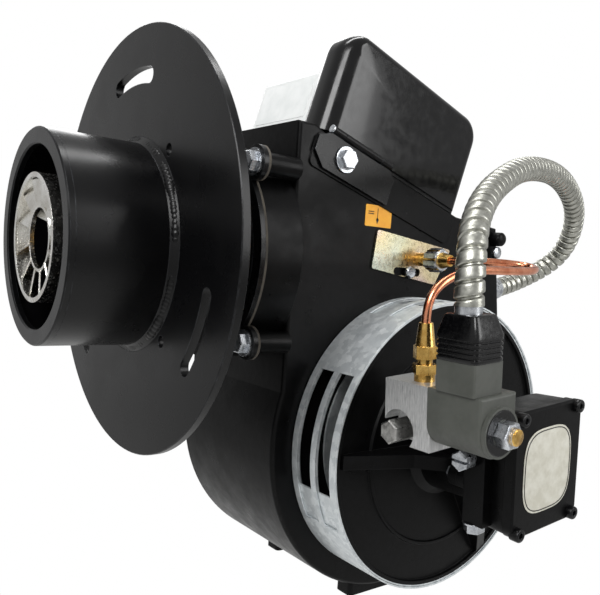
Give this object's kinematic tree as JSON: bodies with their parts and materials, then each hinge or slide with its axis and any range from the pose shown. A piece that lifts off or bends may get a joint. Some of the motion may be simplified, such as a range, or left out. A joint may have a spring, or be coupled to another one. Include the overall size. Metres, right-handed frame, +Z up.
{
  "type": "gun-type oil burner",
  "caption": "Pressure-jet oil burner with flanged air tube, side blower, turning air band, fuel pump, solenoid valve and igniter.",
  "frame": {"origin": "centre of the mounting flange's front face, on the air tube's axis", "axes": "-X along the flame out of the air tube, +X back to the blower, -Y to the fuel pump, +Z up"},
  "size_m": [0.5227, 0.468, 0.4844],
  "materials": {
    "black_casting": "satin black paint on cast aluminium",
    "black_steel": "satin black paint on steel",
    "zinc": "bright zinc plated steel",
    "galvanised": "galvanised sheet steel",
    "yellow_zinc": "yellow chromate zinc",
    "stainless": "stainless steel",
    "steel": "machined steel",
    "aluminium": "brushed aluminium bar",
    "brass": "machined brass",
    "copper": "annealed copper tube",
    "coil_grey": "dark grey moulded plastic",
    "black_plastic": "glossy black moulded plastic",
    "black_gloss": "glossy black enamel on drawn steel",
    "white_plastic": "off-white moulded plastic",
    "grey_plastic": "light grey moulded plastic",
    "red_plastic": "red button",
    "gasket": "pressed fibre gasket",
    "porcelain": "glazed white porcelain",
    "coupling": "natural nylon",
    "motor_paint": "black paint on rolled steel"
  },
  "bodies": {
    "burner": {"air_tube": "black_steel", "band_lock_screw": "zinc", "blower_housing": "black_casting", "bracket_screw": "zinc", "coil_nut": "zinc", "conduit": "galvanised", "conduit_fittings": "zinc", "cover_screws": "zinc", "fixed_air_band": "galvanised", "flare_fitting": "brass", "hinge_bolt": "zinc", "hinge_leaf": "black_steel", "hinge_pin": "zinc", "inlet_cone": "galvanised", "inlet_cover": "black_casting", "inlet_cover_screws": "zinc", "motor_bolts": "zinc", "motor_front_bell": "motor_paint", "motor_rear_bell": "motor_paint", "motor_shell": "motor_paint", "motor_side_cover": "black_casting", "mounting_flange": "black_steel", "oil_line": "copper", "pressure_screw": "zinc", "pump_body": "black_casting", "pump_cover": "black_casting", "pump_cover_screws": "black_steel", "pump_mount_bolts": "zinc", "pump_port_plug": "zinc", "rear_cover": "black_casting", "rear_cover_screws": "zinc", "terminal_base": "coil_grey", "tube_bolts": "zinc", "tube_end_ring": "black_steel", "tube_gasket": "gasket", "valve_block": "aluminium", "valve_bolt": "steel", "valve_coil": "coil_grey", "valve_plug": "black_plastic"},
    "blower": {"blower_wheel": "galvanised", "shaft_coupling": "coupling", "pump_shaft": "steel", "motor_rotor": "steel"},
    "air_shutter": {"air_band": "galvanised"},
    "head_drawer": {"nozzle_line": "steel", "line_fitting": "brass", "nozzle_adapter": "brass", "nozzle": "brass", "electrode_porcelains": "porcelain", "electrode_rods": "stainless", "electrode_clamp": "steel", "retention_head": "stainless", "setting_bracket": "yellow_zinc"},
    "top_plate": {"igniter_base_plate": "black_steel", "igniter": "black_gloss", "control_base": "grey_plastic", "control_cover": "white_plastic", "hold_down_screw": "zinc"},
    "control_button": {"control_reset_button": "red_plastic"},
    "motor_button": {"motor_reset_button": "red_plastic"}
  },
  "joints": [
    {"name": "blower_spin", "type": "hinge", "parent": "burner", "child": "blower", "pos_m": [0.238, 0, -0.1525], "axis": [0, 1, 0], "continuous": true},
    {"name": "air_band_turn", "type": "hinge", "parent": "burner", "child": "air_shutter", "pos_m": [0.238, -0.1005, -0.1525], "axis": [0, -1, 0], "range_deg": [-13.8, 17]},
    {"name": "head_drawer_slide", "type": "slide", "parent": "burner", "child": "head_drawer", "axis": [1, 0, 0], "range_m": [-0.01, 0.015], "deforming": ["oil_line"]},
    {"name": "top_plate_hinge", "type": "hinge", "parent": "burner", "child": "top_plate", "pos_m": [0.16522, -0.076, 0.09046], "axis": [0.9563, 0, -0.2924], "range_deg": [0, 55]},
    {"name": "control_reset_press", "type": "slide", "parent": "top_plate", "child": "control_button", "axis": [-0.2924, 0, -0.9563], "range_m": [0, 0.0025], "stiffness_N_per_m": 300, "springref_m": -0.002},
    {"name": "motor_reset_press", "type": "slide", "parent": "burner", "child": "motor_button", "axis": [0, 0, -1], "range_m": [0, 0.0025], "stiffness_N_per_m": 300, "springref_m": -0.002}
  ]
}
